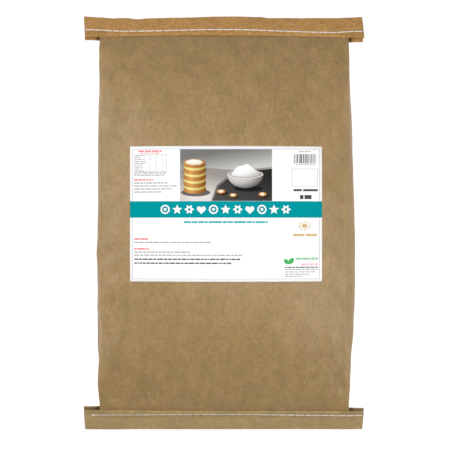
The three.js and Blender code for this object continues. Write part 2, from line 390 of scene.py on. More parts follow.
class Nodes:
    """A small helper that adds nodes to one material and links them."""

    def __init__(self, name, roughness, specular):
        self.material = bpy.data.materials.new(name)
        self.material.use_nodes = True
        self.tree = self.material.node_tree
        self.shader = next(n for n in self.tree.nodes if n.type == "BSDF_PRINCIPLED")
        self.shader.inputs["Roughness"].default_value = roughness
        self.shader.inputs["Specular IOR Level"].default_value = specular
        self.place = self.add("ShaderNodeTexCoord").outputs["Object"]

    def add(self, kind, inputs=(), **settings):
        node = self.tree.nodes.new(kind)
        for key, value in settings.items():
            setattr(node, key, value)
        for key, value in dict(inputs).items():
            self.feed(node.inputs[key], value)
        return node

    def link(self, source, target):
        self.tree.links.new(source, target)

    def feed(self, socket, value):
        if isinstance(value, bpy.types.NodeSocket):
            self.link(value, socket)
        else:
            socket.default_value = value

    def noise(self, scale, detail=2, roughness=0.5, stretch=(1, 1, 1)):
        place = self.add("ShaderNodeMapping", {"Scale": stretch, "Vector": self.place})
        inputs = {"Scale": scale, "Detail": detail, "Roughness": roughness, "Vector": place.outputs[0]}
        return self.add("ShaderNodeTexNoise", inputs).outputs["Fac"]

    def remap(self, value, low, high, to_low=0.0, to_high=1.0):
        inputs = {"Value": value, "From Min": low, "From Max": high, "To Min": to_low, "To Max": to_high}
        return self.add("ShaderNodeMapRange", inputs).outputs["Result"]

    def maths(self, operation, a, b):
        return self.add("ShaderNodeMath", {0: a, 1: b}, operation=operation).outputs[0]

    def mix(self, share, a, b, blend="MIX"):
        node = self.add("ShaderNodeMix", data_type="RGBA", blend_type=blend)
        self.feed(node.inputs["Factor"], share)
        self.feed(node.inputs["A"], a)
        self.feed(node.inputs["B"], b)
        return node.outputs["Result"]

    def vary(self, color, value, amount):
        """The colour made lighter and darker by up to a share, as the noise in value goes."""
        return self.times(color, self.remap(value, 0.34, 0.66, 1 - amount, 1 + amount))

    def times(self, color, factor):
        return self.mix(1.0, color, factor, "MULTIPLY")

    def attribute(self, name, output="Fac"):
        return self.add("ShaderNodeAttribute", attribute_name=name).outputs[output]

    def bump(self, height, distance, strength=1.0, under=None):
        node = self.add("ShaderNodeBump", {"Strength": strength, "Distance": distance, "Height": height})
        if under is not None:
            self.link(under, node.inputs["Normal"])
        return node.outputs["Normal"]

    def finish(self, color, normal, roughness=None):
        self.link(color, self.shader.inputs["Base Color"])
        self.link(normal, self.shader.inputs["Normal"])
        if roughness is not None:
            self.link(roughness, self.shader.inputs["Roughness"])
        return self.material


def kraft_paper():
    """Brown sack paper: cloudy, from olive to pinkish, with fine fibres, specks and lighter creases, and
    painted shade on its steep sides.
    """
    n = Nodes("kraft_paper", 0.46, KRAFT_GLOSS)
    cloud = n.remap(n.noise(34, 3, 0.55), 0.34, 0.66)
    color = n.mix(cloud, linear(152, 127, 80), linear(159, 129, 88))
    tint = n.remap(n.noise(160, 2), 0.34, 0.66)
    color = n.mix(tint, n.mix(0.5, color, linear(152, 128, 80)), n.mix(0.5, color, linear(159, 127, 88)))
    for scale, roughness, stretch, amount in KRAFT_GRAIN:
        color = n.vary(color, n.noise(scale, 2, roughness, stretch), amount)
    speck = n.remap(n.noise(620, 2, 0.6), 0.66, 0.74)
    color = n.mix(n.maths("MULTIPLY", speck, 0.4), color, linear(196, 170, 130))
    patchy = n.remap(n.noise(30, 3), 0.35, 0.65, 0.05, 0.3)
    wear = n.maths("MULTIPLY", n.attribute("wear"), patchy)
    color = n.mix(wear, color, linear(186, 160, 118))
    steep = n.attribute("steep")
    # Painted shade: darker where the surface turns steeply away from up, round the sides
    color = n.times(color, n.remap(steep, 0, 1, 1, STEEP_SHADE))
    n.feed(n.shader.inputs["Specular IOR Level"], n.remap(steep, 0, 1, KRAFT_GLOSS, STEEP_GLOSS))
    normal = n.bump(n.noise(900, 3, 0.6, (1, 0.45, 1)), 0.12 * MM, 0.5)
    normal = n.bump(n.noise(190, 3, 0.55, (1.3, 0.7, 1)), 0.5 * MM, 0.35, normal)
    return n.finish(color, normal, n.remap(n.noise(120, 2), 0.3, 0.7, 0.42, 0.52))


def crepe_paper(name, tape):
    """Closing tape: soft paper between two hues, with fine streaks along it and fine ridges across; painted
    lighter where its front edge climbs the sack, and painted shade in its pockets, needle holes and thread
    groove.
    """
    n = Nodes(name, 0.7, 0.25)
    yellow, pink, fine = linear(*tape.yellow), linear(*tape.pink), tape.fine
    hue = n.remap(n.noise(330, 2, 0.6), 0.36, 0.64)
    color = n.mix(hue, yellow, pink)
    color = n.vary(color, n.noise(60, 2), 0.045)
    color = n.vary(color, n.noise(170, 2, 0.6, (0.6, 1.4, 1)), 0.07)
    color = n.vary(color, n.noise(420, 2, 0.6, (0.45, 1.6, 1)), 0.13 * fine)
    color = n.vary(color, n.noise(900, 2, 0.7), 0.3 * fine)
    color = n.mix(n.maths("MULTIPLY", n.attribute("inner"), 0.6), color, pink)
    # Painted light: the front ply is drawn lighter up the slope at its edge, against the slope's shade
    color = n.times(color, n.remap(n.attribute("rub"), 0, 1, 1, TAPE_SLOPE_LIGHT))
    # Painted shade in the pockets beside the sack, under the front ply's edge, in the needle holes and
    # along the thread's groove
    shade = n.maths("MULTIPLY", n.attribute("shade"), POCKET_SHADE_DEPTH)
    color = n.mix(shade, color, linear(*POCKET_SHADE_BROWN))
    ridges = n.noise(430, 2, 0.6, (2.4, 0.35, 1))
    normal = n.bump(ridges, 0.4 * MM, 0.4)
    normal = n.bump(n.noise(1400, 2), 0.1 * MM, 0.4, normal)
    return n.finish(color, normal)


def cotton(name, light, dark):
    n = Nodes(name, 0.88, 0.2)
    n.shader.inputs["Sheen Weight"].default_value = 0.25
    fuzz = n.remap(n.noise(2600, 3, 0.7), 0.35, 0.65)
    normal = n.bump(n.noise(3500, 2), 0.1 * MM, 0.6)
    return n.finish(n.mix(fuzz, linear(*dark), linear(*light)), normal)


def printed_paper():
    """The label: smooth paper with its print in fields of colour."""
    n = Nodes("label_paper", 0.5, 0.01)
    fleck = n.remap(n.noise(900, 2, 0.6), 0.3, 0.7, 0.985, 1.0)
    color = n.times(n.attribute("print", "Color"), fleck)
    normal = n.bump(n.noise(700, 3, 0.6), 0.06 * MM, 0.35)
    return n.finish(color, normal, n.remap(n.noise(90, 2), 0.3, 0.7, 0.36, 0.5))


# The sack's skin


def skin_rows():
    t = np.linspace(1, 0, SKIN_ROWS + 1)
    rising = list(SPAN * (1 - t**ROW_CROWDING))
    upper = rising + [(SPAN + MOUTH) / 2, MOUTH]
    return [-y for y in reversed(upper[1:])] + upper


def skin_loop(y):
    xi = np.linspace(-1, 1, PANEL_CELLS + 1)
    v = np.linspace(1, -1, SIDE_CELLS + 1)[1:-1]
    front = np.stack([xi * crease_x(y), np.full_like(xi, y), front_z(xi, y)], 1)
    back = np.stack([-xi * crease_x(y), np.full_like(xi, y), back_z(-xi, y)], 1)
    right, left = side_points(SIDES["right"], v, y), side_points(SIDES["left"], -v, y)
    return np.concatenate([front, right, back, left])


def spread_out(steps, times):
    """Steps of a grid of rows and loops, smoothed round each loop and from row to row."""
    for _ in range(times):
        padded = np.concatenate([steps[:1], steps, steps[-1:]])
        up = (padded[:-2] + padded[2:]) / 2
        steps = (spread_round(steps, 1) + up) / 2
    return steps


def spread_round(steps, times):
    """Steps of a grid of rows and loops, smoothed round each loop alone."""
    for _ in range(times):
        steps = (2 * steps + np.roll(steps, 1, 1) + np.roll(steps, -1, 1)) / 4
    return steps


def simulate(skin, free, rows, count):
    """Fills the paper with pressure while its ends are held, and keeps the small folds that this makes."""
    rest = coordinates(skin.data)
    held = skin.vertex_groups.new(name="held")
    for i, share in enumerate(free.ravel()):
        held.add([i], float(1 - share), "REPLACE")
    cloth = skin.modifiers.new("cloth", "CLOTH")
    for key, value in SIM_PAPER.items():
        setattr(cloth.settings, key, value)
    cloth.settings.vertex_group_mass = "held"
    cloth.settings.effector_weights.gravity = 0
    for number in range(1, SIM_FRAMES + 1):
        bpy.context.scene.frame_set(number)
    settled = skin.evaluated_get(bpy.context.evaluated_depsgraph_get())
    moved = (coordinates(settled.data) - rest)[:-2]
    skin.modifiers.remove(cloth)
    skin.vertex_groups.remove(held)
    bpy.context.scene.frame_set(1)
    steps = moved.reshape(rows, count, 3)
    folds = steps - spread_out(steps, FOLD_SPREAD["all ways"])
    folds -= spread_round(folds, FOLD_SPREAD["round"])
    length = np.linalg.norm(folds, axis=2, keepdims=True)
    return folds * np.minimum(1, SIM_CAP / np.maximum(length, 1e-9))


def freedom(points):
    """How freely the paper folds at each point: not at all under the tapes, little around the label."""
    x, y, z = points.T
    ends = smooth((TAPE_REACH - np.abs(y)) / (22 * MM))
    front = smooth((z - 48 * MM) / (14 * MM)) * smooth((crease_x(y) - 12 * MM - np.abs(x)) / (35 * MM))
    calm = front * smooth((165 * MM - np.abs(y)) / (60 * MM))
    return ends * (1 - SIM_CALM * calm)


def fold_shares():
    """Share of the simulated folds that each point round a loop keeps: few where they touch the outline."""
    v = np.abs(np.linspace(1, -1, SIDE_CELLS + 1)[1:-1])
    side = OUTLINE_FOLDS + (1 - OUTLINE_FOLDS) * smooth((v - 0.1) / 0.35) * smooth((1 - v) / 0.3)
    front = np.full(PANEL_CELLS + 1, FRONT_FOLDS)
    back = np.full(PANEL_CELLS + 1, BACK_FOLDS)
    return np.concatenate([front, side, back, side])


def small_forms(points, normals):
    """How far each point of the finished skin stands out along its normal."""
    x, y, z = points.T
    inside = np.maximum(0, TAPE_REACH - np.abs(y))
    under_tape = smooth(inside / (9 * MM))
    ripple = wander(np.stack([x, y * 0.06, np.sign(y)], 1), LUMPS["pucker"], 3)
    ripple += 0.5 * wander(np.stack([x, y * 0.08, np.sign(y)], 1), LUMPS["fine pucker"], 4)
    puckers = PUCKER_DEPTH * ripple * np.exp(-inside / PUCKER_FADE)
    lean = np.sign(x * y)
    diagonal = np.stack([x - lean * y * 0.55, (y + lean * x) * 0.12, z * 0.5], 1)
    corner = smooth((np.abs(x) - 55 * MM) / (70 * MM)) * smooth((np.abs(y) - 60 * MM) / (90 * MM))
    buckles = BUCKLE_DEPTH * wander(diagonal, LUMPS["buckle"], 7) * corner
    broad = UNDULATION * wander(points * [1, 0.6, 1], LUMPS["broad"], 9)
    beside = np.abs(x - LABEL_CENTRE[0]) - LABEL_WIDTH / 2
    beyond = np.abs(y - LABEL_CENTRE[1]) - LABEL_HEIGHT / 2
    around = smooth((np.maximum(beside, beyond) + 10 * MM) / (24 * MM))
    on_front = smooth((normals[:, 2] - 0.3) / 0.3)
    calm = 1 - on_front * (1 - around) * LABEL_CALM
    facets = FACET_DEPTH * wander(points, LUMPS["facet"], 12)
    steady = 0.15 + 0.85 * smooth(np.abs(normals[:, 2]) / 0.4)
    forms = under_tape * steady * (puckers + (buckles + broad + facets) * calm)
    return forms - GUSSET_GROOVE * under_tape * gusset_crease(points, normals, 3 * MM)


def gusset_crease(points, normals, wide):
    """One along the line where each side panel was once folded in half, falling to nothing beside it."""
    x, y, z = points.T
    xi = np.sign(x)
    middle = (front_z(xi, y) + back_z(xi, y)) / 2
    on_side = smooth((0.7 - np.abs(normals[:, 2])) / 0.3) * (np.abs(x) > PANEL_WIDTH / 4)
    return on_side * hump(z - middle, wide)


def rubbed(points, normals):
    """How much the creases of the front and back are rubbed lighter."""
    x, y, z = points.T
    off_crease = np.abs(np.abs(x) - crease_x(y) + 1.2 * MM)
    near_front = smooth((normals[:, 2] + 0.1) / 0.4)
    fading = smooth((TAPE_REACH - np.abs(y)) / (4 * MM))
    front = hump(off_crease, 1.5 * MM) * near_front
    return fading * np.maximum(front, 0.8 * gusset_crease(points, normals, 1.6 * MM))


def fold_skin(skin, loops, free):
    """The loops with the simulated folds added, their widest points kept about where they were."""
    rows, count = loops.shape[:2]
    folds = simulate(skin, free, rows, count)
    folded = loops + folds * free[:-2].reshape(rows, count, 1) * fold_shares()[None, :, None]
    sides = np.abs(loops[:, :, 0])
    widest = sides.max(1, keepdims=True)
    folded[:, :, 0] = np.clip(folded[:, :, 0], -widest, widest)
    sunk = np.maximum(0, sides - np.abs(folded[:, :, 0]) - OUTLINE_SLACK)
    folded[:, :, 0] += np.sign(loops[:, :, 0]) * sunk * smooth((sides - widest + 14 * MM) / (9 * MM))
    return folded


def make_sack(material):
    rows = skin_rows()
    loops = np.stack([skin_loop(y) for y in rows])
    count = loops.shape[1]
    points = loops.reshape(-1, 3)
    faces = loft_faces(len(rows), count)
    last = (len(rows) - 1) * count
    points = np.concatenate([points, [loops[0].mean(0)], [loops[-1].mean(0)]])
    for i in range(count):
        j = (i + 1) % count
        faces.append((j, i, last + count))
        faces.append((last + i, last + j, last + count + 1))
    skin = new_piece("paper_sack", points, outward(points, faces), material)
    points[:-2] = fold_skin(skin, loops, freedom(points)).reshape(-1, 3)
    set_coordinates(skin.data, points)
    crease = skin.data.attributes.new("crease_edge", "FLOAT", "EDGE")
    corners = {0, PANEL_CELLS, PANEL_CELLS + SIDE_CELLS, 2 * PANEL_CELLS + SIDE_CELLS}
    soft, hard = CREASE_FIRMNESS
    firm = np.zeros(len(skin.data.edges))
    for e, edge in enumerate(skin.data.edges):
        a, b = edge.vertices
        if a < last + count and b < last + count and a % count == b % count and a % count in corners:
            firm[e] = soft + (hard - soft) * ease(reach(points[a][1]), 0.4, 1.5)
    crease.data.foreach_set("value", firm.astype(np.float32))
    finer = skin.modifiers.new("finer", "SUBSURF")
    finer.levels = finer.render_levels = 1
    mesh = bake(skin)
    mesh.name = "paper_sack"
    points = coordinates(mesh)
    normals = np.array([v.normal for v in mesh.vertices])
    points = points + normals * small_forms(points, normals)[:, None]
    points[:, 2] = np.maximum(points[:, 2], 0)
    set_coordinates(mesh, points)
    normals = np.array([v.normal for v in mesh.vertices])
    add_values(mesh, "wear", rubbed(points, normals))
    add_values(mesh, "steep", smooth((0.85 - np.abs(normals[:, 2])) / 0.45))
    return skin


def surface_of(piece):
    mesh = piece.data
    mesh.calc_loop_triangles()
    triangles = [tuple(t.vertices) for t in mesh.loop_triangles]
    return BVHTree.FromPolygons([v.co[:] for v in mesh.vertices], triangles)


# The label's print. Places on it are millimetres from its left and top edges.


class Field:
    """One outline of the print and the colour inside it: one colour, or a function of the place."""

    def __init__(self, outline, color):
        following = outline[1:] + outline[:1]
        twice = sum(a[0] * b[1] - b[0] * a[1] for a, b in zip(outline, following))
        self.outline = outline if twice > 0 else outline[::-1]
        self.color = color

    def paint(self, u, v):
        return linear(*(self.color(u, v) if callable(self.color) else self.color))


def block(u0, v0, u1, v1):
    return [(u0, v0), (u1, v0), (u1, v1), (u0, v1)]


def round_outline(u, v, across, down=None, points=28, turn=0.0, bump=None):
    """An ellipse, or a star or flower where bump gives the radius at each angle."""
    down = across if down is None else down
    outline = []
    for k in range(points):
        angle = 2 * math.pi * k / points
        far = bump(angle) if bump else 1
        outline.append((u + across * far * math.cos(angle + turn), v + down * far * math.sin(angle + turn)))
    return outline


def bar(color, *corners):
    return Field(block(*corners), color)


def disc(color, *shape, **more):
    """A field with a round outline."""
    return Field(round_outline(*shape, **more), color)


def words(u0, u1, v, height, color, rng, longest=6.5):
    """A line of text as a row of plain dashes."""
    u = u0
    while u < u1 - 1:
        width = min(rng.uniform(1.6, longest), u1 - u)
        yield bar(color, u, v - height / 2, u + width, v + height / 2)
        u += width + 0.75


WHITE = (250, 250, 249)
TEAL = (0, 148, 156)
RED = (226, 64, 74)
GREY = (150, 150, 152)
PALE = (206, 207, 209)
LINE = (176, 176, 184)
DARK = (72, 72, 75)
TAN = (214, 182, 122)
GREEN = (74, 178, 96)


def print_fields():
    rng = random.Random(5)
    yield bar(WHITE, 0, 0, *LABEL_SHEET)
    yield from frame_line(2.6, 2.9, 207.4, 145.9, 0.55, LINE)
    yield bar(TEAL, 0, 60.4, LABEL_SHEET[0], 78.4)
    yield from picture()
    yield from facts_table(4.8, 4.6, 40.4, 32.4, rng)
    yield from paragraph(37, 21, [36.7, 47.6, 41.1, 31.2], rng, first_gap=3.4)
    yield from bars(179.2, 8.6, 203.8, 18.9, rng)
    yield from words(184.4, 199, 5.9, 0.9, GREY, rng, 4)
    yield from words(181, 202, 20.3, 0.8, GREY, rng, 3)
    yield from frame_line(176.8, 24.6, 205.2, 44.0, 0.4, LINE)
    yield bar(DARK, 178.5, 47.1, 187.6, 49.4)
    yield bar(DARK, 189.2, 47.1, 205.3, 49.4)
    yield bar(DARK, 185.6, 53.6, 189.4, 58.0)
    yield bar(DARK, 190.6, 53.6, 198.3, 58.0)
    yield from title_shapes(33.5, 175.5, 69.4)
    yield from words(59.2, 150.2, 83.3, 2.3, (70, 178, 184), rng, 15)
    yield from roundel(190.6, 87.3)
    yield bar(TAN, 178, 96.2, 190.5, 98.6)
    yield bar(TAN, 192, 96.2, 204.2, 98.6)
    yield from paragraph(101.8, 17, [83.7], rng, first_gap=3.7)
    yield from paragraph(112.7, 17, [60.7, 117.6], rng, first_gap=3.5)
    yield from words(4.8, 120.3, 124, 1.5, DARK, rng)
    yield from words(4.8, 111, 128.3, 1.5, DARK, rng)
    yield from leaves(173.2, 125.4)
    yield from words(181, 205.4, 123.4, 2.4, (150, 208, 160), rng, 9)
    yield from words(187, 205.4, 129.4, 0.9, RED, rng, 5)
    yield from words(169, 205.4, 132.8, 1.2, DARK, rng)
    for v, end in ((135.2, 205.4), (137.9, 203), (140.4, 196), (142.7, 188)):
        yield from words(169, end, v, 0.9, GREY, rng)


def frame_line(u0, v0, u1, v1, width, color):
    return [
        bar(color, u0, v0, u1, v0 + width),
        bar(color, u0, v1 - width, u1, v1),
        bar(color, u0, v0 + width, u0 + width, v1 - width),
        bar(color, u1 - width, v0 + width, u1, v1 - width),
    ]


def paragraph(v, heading, lines, rng, first_gap):
    yield from words(4.8, 4.8 + heading, v, 1.35, RED, rng, 9)
    for k, length in enumerate(lines):
        yield from words(4.8, 4.8 + length, v + first_gap + 3.3 * k, 1.15, GREY, rng)


def facts_table(u0, v0, u1, v1, rng):
    """A small ruled table with a red line of heading."""
    yield from words(u0 + 4.5, u1 - 5.5, v0 + 0.8, 1.3, RED, rng, 9)
    yield from words(u0 + 6, u1 - 7, v0 + 2.9, 0.9, (236, 132, 138), rng, 5)
    top, bottom = v0 + 4.4, v1 - 4.4
    yield from frame_line(u0, top, u1, bottom, 0.4, LINE)
    for share in (0.4, 0.6, 0.78):
        u = u0 + share * (u1 - u0)
        yield bar(PALE, u, top + 0.4, u + 0.28, bottom - 0.4)
    row_count = 9
    for k in range(row_count):
        v = top + 1.5 + k * (bottom - top - 2.4) / (row_count - 1)
        yield from words(u0 + 0.9, u0 + rng.uniform(8, 13), v, 0.85, GREY, rng, 5)
        for share, width in ((0.45, 3.2), (0.64, 3.4), (0.84, 2.8)):
            u = u0 + share * (u1 - u0)
            yield bar(PALE, u, v - 0.4, u + width * rng.uniform(0.5, 1), v + 0.4)
    for k in range(3):
        yield from words(u0, u1 - 1.5 * k, v1 - 3.3 + 1.5 * k, 0.75, GREY, rng)


def bars(u0, v0, u1, v1, rng):
    """A generic striped code that holds no number."""
    u = u0
    while u < u1 - 0.8:
        width = rng.choice([0.35, 0.35, 0.7, 1.05])
        yield bar((74, 72, 80), u, v0, u + width, v1)
        u += width + rng.choice([0.4, 0.4, 0.75, 1.1])


def heart(u, v, size):
    outline = []
    for k in range(30):
        a = 2 * math.pi * k / 30
        wide = 16 * math.sin(a) ** 3
        high = 13 * math.cos(a) - 5 * math.cos(2 * a) - 2 * math.cos(3 * a) - math.cos(4 * a)
        outline.append((u + size * wide / 17, v - size * high / 17))
    return outline


def star_point(angle):
    return 1 if round(angle / (math.pi / 5)) % 2 == 0 else 0.45


def lobes(count, depth):
    """The radius at each angle of an outline with that many round lobes."""
    return lambda angle: 1 - depth + depth * math.cos(count * angle)


def title_shapes(u0, u1, v):
    """Plain white shapes in a row along the coloured band."""
    places = np.linspace(u0 + 5.2, u1 - 5.2, 11)
    for k, u in enumerate(places):
        kind = k % 4
        if kind == 0:
            yield disc(WHITE, u, v, 5.0)
            yield disc(TEAL, u, v, 3.5)
            yield disc(WHITE, u, v, 1.6, points=16)
        elif kind == 1:
            yield disc(WHITE, u, v + 0.3, 5.6, points=10, turn=-math.pi / 2, bump=star_point)
        elif kind == 2:
            yield disc(WHITE, u, v, 5.2, points=48, bump=lobes(6, 0.22))
            yield disc(TEAL, u, v, 1.5, points=16)
        else:
            yield Field(heart(u, v + 0.3, 5.2), WHITE)


def roundel(u, v):
    """A plain ring of dots round a disc."""
    yield disc(TAN, u, v, 3.1, 2.5, 24)
    for k in range(12):
        angle = 2 * math.pi * k / 12
        yield disc(TAN, u + 5.6 * math.cos(angle), v + 4.5 * math.sin(angle), 0.85, points=12)


def leaves(u, v):
    """Two plain leaves."""
    steps = np.linspace(0, 1, 11)
    half = [(t, 0.3 * math.sin(math.pi * t) ** 0.8) for t in steps]
    for turn, size in ((-0.9, 8.8), (-2.3, 7.6)):
        ahead, aside = (math.cos(turn), math.sin(turn)), (-math.sin(turn), math.cos(turn))
        rim = half + [(t, -w) for t, w in reversed(half[1:-1])]
        outline = []
        for t, w in rim:
            across, down = t * ahead[0] + w * aside[0], t * ahead[1] + w * aside[1]
            outline.append((u + size * across, v + 4 + size * down))
        yield Field(outline, GREEN)


# The picture on the label: a bowl heaped with sugar, and round biscuits with cream, on a dark board


PICTURE = (54.9, 3.6, 155.1, 60.2)


def between(a, b, share):
    share = max(0.0, min(1.0, share))
    return tuple(p + (q - p) * share for p, q in zip(a, b))


def wall(u, v):
    return between((120, 119, 116), (196, 195, 192), (v - 3) / 22 + (u - 120) / 130)


def cloth(u, v):
    glow = 1 - math.hypot((u - 75) / 60, (v - 56) / 26)
    return between((150, 143, 138), (222, 216, 211), glow * 1.2)


def board(u, v):
    return between((42, 41, 40), (88, 86, 84), (v - 22) / 60 + (118 - u) / 160)


def board_rim(u, v):
    return between((96, 94, 91), (150, 147, 143), (u - 70) / 80)


def ball(centre, size, light, mid, dark):
    """Shading of a round thing lit from its upper left."""

    def paint(u, v):
        x, y = (u - centre[0]) / size[0], (v - centre[1]) / size[1]
        near = math.hypot(x + 0.35, y + 0.45)
        return between(light, mid, near / 0.9) if near < 0.9 else between(mid, dark, (near - 0.9) / 0.6)

    return paint


def side_lit(u0, u1, light, dark):
    def paint(u, v):
        t = (u - u0) / (u1 - u0)
        return between(light, dark, abs(t - 0.32) * 1.5)

    return paint


def biscuit_stack(u, v, wide, layers):
    """Round biscuits with cream between them, seen a little from above."""
    flat = wide * 0.34
    layer = 7.2
    brown = side_lit(u - wide, u + wide, (214, 158, 88), (122, 72, 30))
    cream = side_lit(u - wide, u + wide, (240, 226, 150), (178, 158, 70))
    for k in range(layers):
        low = v - k * layer
        yield disc(brown, u, low, wide, flat, 36)
        yield disc(brown, u, low - 2.0, wide * 0.98, flat, 36)
        yield disc(cream, u, low - 3.4, wide * 0.93, flat * 0.96, 36)
        yield disc(cream, u, low - 5.4, wide * 0.93, flat * 0.96, 36)
        yield disc(brown, u, low - 6.2, wide * 0.97, flat, 36)
    top = v - layers * layer
    gold = ball((u, top), (wide, flat), (226, 176, 108), (200, 142, 74), (140, 86, 38))
    yield disc(gold, u, top - 0.8, wide * 0.97, flat, 36)
    dust = ball((u, top - 1.5), (wide, flat), (250, 248, 244), (236, 230, 220), (206, 190, 168))
    yield disc(dust, u - 0.4, top - 1.3, wide * 0.78, flat * 0.76, 36, bump=lobes(7, 0.06))


def sugar_bowl(u, v, wide):
    """A bowl heaped with sugar, over its shadow."""
    bowl = ball((u, v + 4), (wide, 13), (236, 234, 231), (186, 183, 180), (84, 82, 80))
    body = [(u + wide * math.cos(a), v + 15 * math.sin(a)) for a in np.linspace(0, math.pi, 24)]
    shadow = disc((30, 29, 29), u + 3, v + 15.5, wide * 0.8, 3.4, 30)
    rim = disc((226, 224, 221), u, v, wide, 4.6, 40)
    inside = disc((150, 147, 144), u, v, wide * 0.93, 3.9, 40)
    heap = []
    for k in range(25):
        t = k / 24 * 2 - 1
        high = 11.5 * (1 - abs(t) ** 1.7) + 0.7 * math.sin(9 * t)
        heap.append((u + wide * 0.86 * t, v + 0.6 - high))
    front = np.linspace(0.25, math.pi - 0.25, 12)
    heap += [(u + wide * 0.86 * math.cos(a), v + 3.2 * math.sin(a)) for a in front]
    snow = ball((u, v - 4), (wide, 10), (253, 253, 252), (236, 234, 232), (170, 167, 164))
    return [shadow, Field(body, bowl), rim, inside, Field(heap, snow)]


def picture():
    u0, v0, u1, v1 = PICTURE
    table = [(u0, 26), (u0 + 30, 24), (u1, 30), (u1, v1), (u0, v1)]
    rim = [(u0 + 34, v1), (u0 + 40, 43), (u0 + 52, 33), (u0 + 72, 26), (u1, 23), (u1, v1)]
    slab = [(u0 + 36, v1), (u0 + 42, 44), (u0 + 54, 34.5), (u0 + 73, 27.8), (u1, 25), (u1, v1)]
    yield bar(wall, *PICTURE)
    for outline, paint in ((table, cloth), (rim, board_rim), (slab, board)):
        yield Field(outline, paint)
    yield disc((104, 99, 95), u0 + 17, 51, 16, 4.2, 30)
    yield from biscuit_stack(u0 + 16, 48, 12.5, 4)
    yield from sugar_bowl(u0 + 71, 31, 19.5)
    for u, v, size in ((u0 + 45, 50, 5.2), (u0 + 58, 54, 4.6), (u0 + 90, 53, 5)):
        gold = ball((u, v), (size, size * 0.6), (232, 184, 116), (198, 138, 70), (126, 76, 34))
        yield disc((24, 23, 23), u + 1, v + 1.2, size * 1.05, size * 0.5, 20)
        yield disc(gold, u, v, size, size * 0.52, 40, bump=lobes(9, 0.07))
        yield disc((244, 240, 232), u - 0.3, v - 0.3, size * 0.5, size * 0.24, 18)


def divided(outline, longest):
    """The outline with more points, so that no edge is longer and all of it follows the sack."""
    made = []
    for (u0, v0), (u1, v1) in zip(outline, outline[1:] + outline[:1]):
        count = max(1, math.ceil(math.hypot(u1 - u0, v1 - v0) / longest))
        made += [(u0 + (u1 - u0) * k / count, v0 + (v1 - v0) * k / count) for k in range(count)]
    return made


def label_mesh_parts(fields):
    """One flat mesh of all the fields: places in millimetres, triangles and their topmost field."""
    places = [Vector(p) for p in grid_places(block(0, 0, *LABEL_SHEET), LABEL_CELL)]
    places += [Vector(p) for p in grid_places(block(*PICTURE), PICTURE_CELL)]
    outlines = []
    for field in fields:
        outline = divided(field.outline, LABEL_CELL)
        outlines.append(list(range(len(places), len(places) + len(outline))))
        places += [Vector(p) for p in outline]
    found = delaunay_2d_cdt(places, [], outlines, 1, 1e-4, True)
    flat, _, triangles, _, _, origins = found
    chosen = [max(origin) if origin else 0 for origin in origins]
    return np.array([p[:] for p in flat]), triangles, chosen


def grid_places(outline, step):
    (u0, v0), _, (u1, v1), _ = outline
    across = np.linspace(u0, u1, round((u1 - u0) / step) + 1)[1:-1]
    down = np.linspace(v0, v1, round((v1 - v0) / step) + 1)[1:-1]
    return [(u, v) for u in across for v in down]


def make_label(material, sack_surface):
    fields = list(print_fields())
    flat, triangles, chosen = label_mesh_parts(fields)
    x = LABEL_CENTRE[0] + LABEL_WIDTH * (flat[:, 0] / LABEL_SHEET[0] - 0.5)
    y = LABEL_CENTRE[1] + LABEL_HEIGHT * (0.5 - flat[:, 1] / LABEL_SHEET[1])
    down = Vector((0, 0, -1))
    z = np.array([sack_surface.ray_cast(Vector((a, b, 1)), down)[0].z for a, b in zip(x, y)])
    points = np.stack([x, y, z + LABEL_LIFT + LABEL_THICKNESS], 1)
    label = new_piece("paper_label", points, [tuple(reversed(t)) for t in triangles], material)
    mesh = label.data
    colors = mesh.attributes.new("print", "FLOAT_COLOR", "CORNER")
    values = []
    for polygon, field in zip(mesh.polygons, chosen):
        for loop in polygon.loop_indices:
            u, v = flat[mesh.loops[loop].vertex_index]
            values += fields[field].paint(u, v)
    colors.data.foreach_set("color", values)
    thick = label.modifiers.new("thick", "SOLIDIFY")
    thick.thickness = LABEL_THICKNESS
    thick.offset = -1
    bake(label)
    return label


# The closing tapes


def half_gap(tape, ply, x, along):
    """Half the gap inside a tape at x, for the ply on the front (ply 1) or on the back (ply -1)."""
    y = tape.end * along
    inside = max(-1, min(1, x / crease_x(y)))
    middle = SEAM_HEIGHT - droop(inside, y)
    paper = front_z(inside, y) - middle if ply > 0 else middle - back_z(inside, y)
    free = max(0, SPAN - along)
    over_sack = paper + GAP * (SLOPE_GAP if free > 0 else 1)
    past = abs(x) - PANEL_WIDTH / 2
    closed = float(smooth((past - EAR_CLOSE[0]) / (EAR_CLOSE[1] - EAR_CLOSE[0])))
    return over_sack + (EAR_GAP + EAR_FLARE * free - over_sack) * closed


def seam_z(tape, x, along):
    return SEAM_HEIGHT - droop(x / (PANEL_WIDTH / 2), tape.end * along)


def fold_at(tape, x):
    """The tape's fold, with a shallow scallop between stitches here and there."""
    t = x / (TAPE_LENGTH / 2)
    wave = abs(noise.noise(Vector((x * 75, tape.seed, 0))))
    wave += 0.35 * noise.noise(Vector((x * 190, tape.seed, 3)))
    return BAG_LENGTH / 2 - follow(tape.fold_dip, t) * MM - tape.scallop * max(0, wave) * 1.4


def stitch_at(tape, x):
    return follow(tape.stitches, x / (TAPE_LENGTH / 2)) * MM


def cut_shift(tape, x, along, ply=1):
    """The ends of a tape are cut a little askew: how far in from its full length."""
    side = 1 if x > 0 else -1
    at_fold, at_edge = tape.cut[side]
    share = min(1, max(0, (along - CUT_START) / (BAG_LENGTH / 2 - CUT_START))) ** 1.4
    if ply < 0:
        at_edge += tape.back_cut[side]
    amount = (at_edge + (at_fold - at_edge) * share) * MM
    return -side * amount * float(smooth((abs(x) - 120 * MM) / (36 * MM)))


def front_edge_at(tape, x):
    t = x / (TAPE_LENGTH / 2)
    return tape.front_edge + tape.front_bow * (1 - t * t) - tape.slant / 2 * t


def back_edge_at(tape, x):
    return tape.back_edge - tape.slant * x / (TAPE_LENGTH / 2)


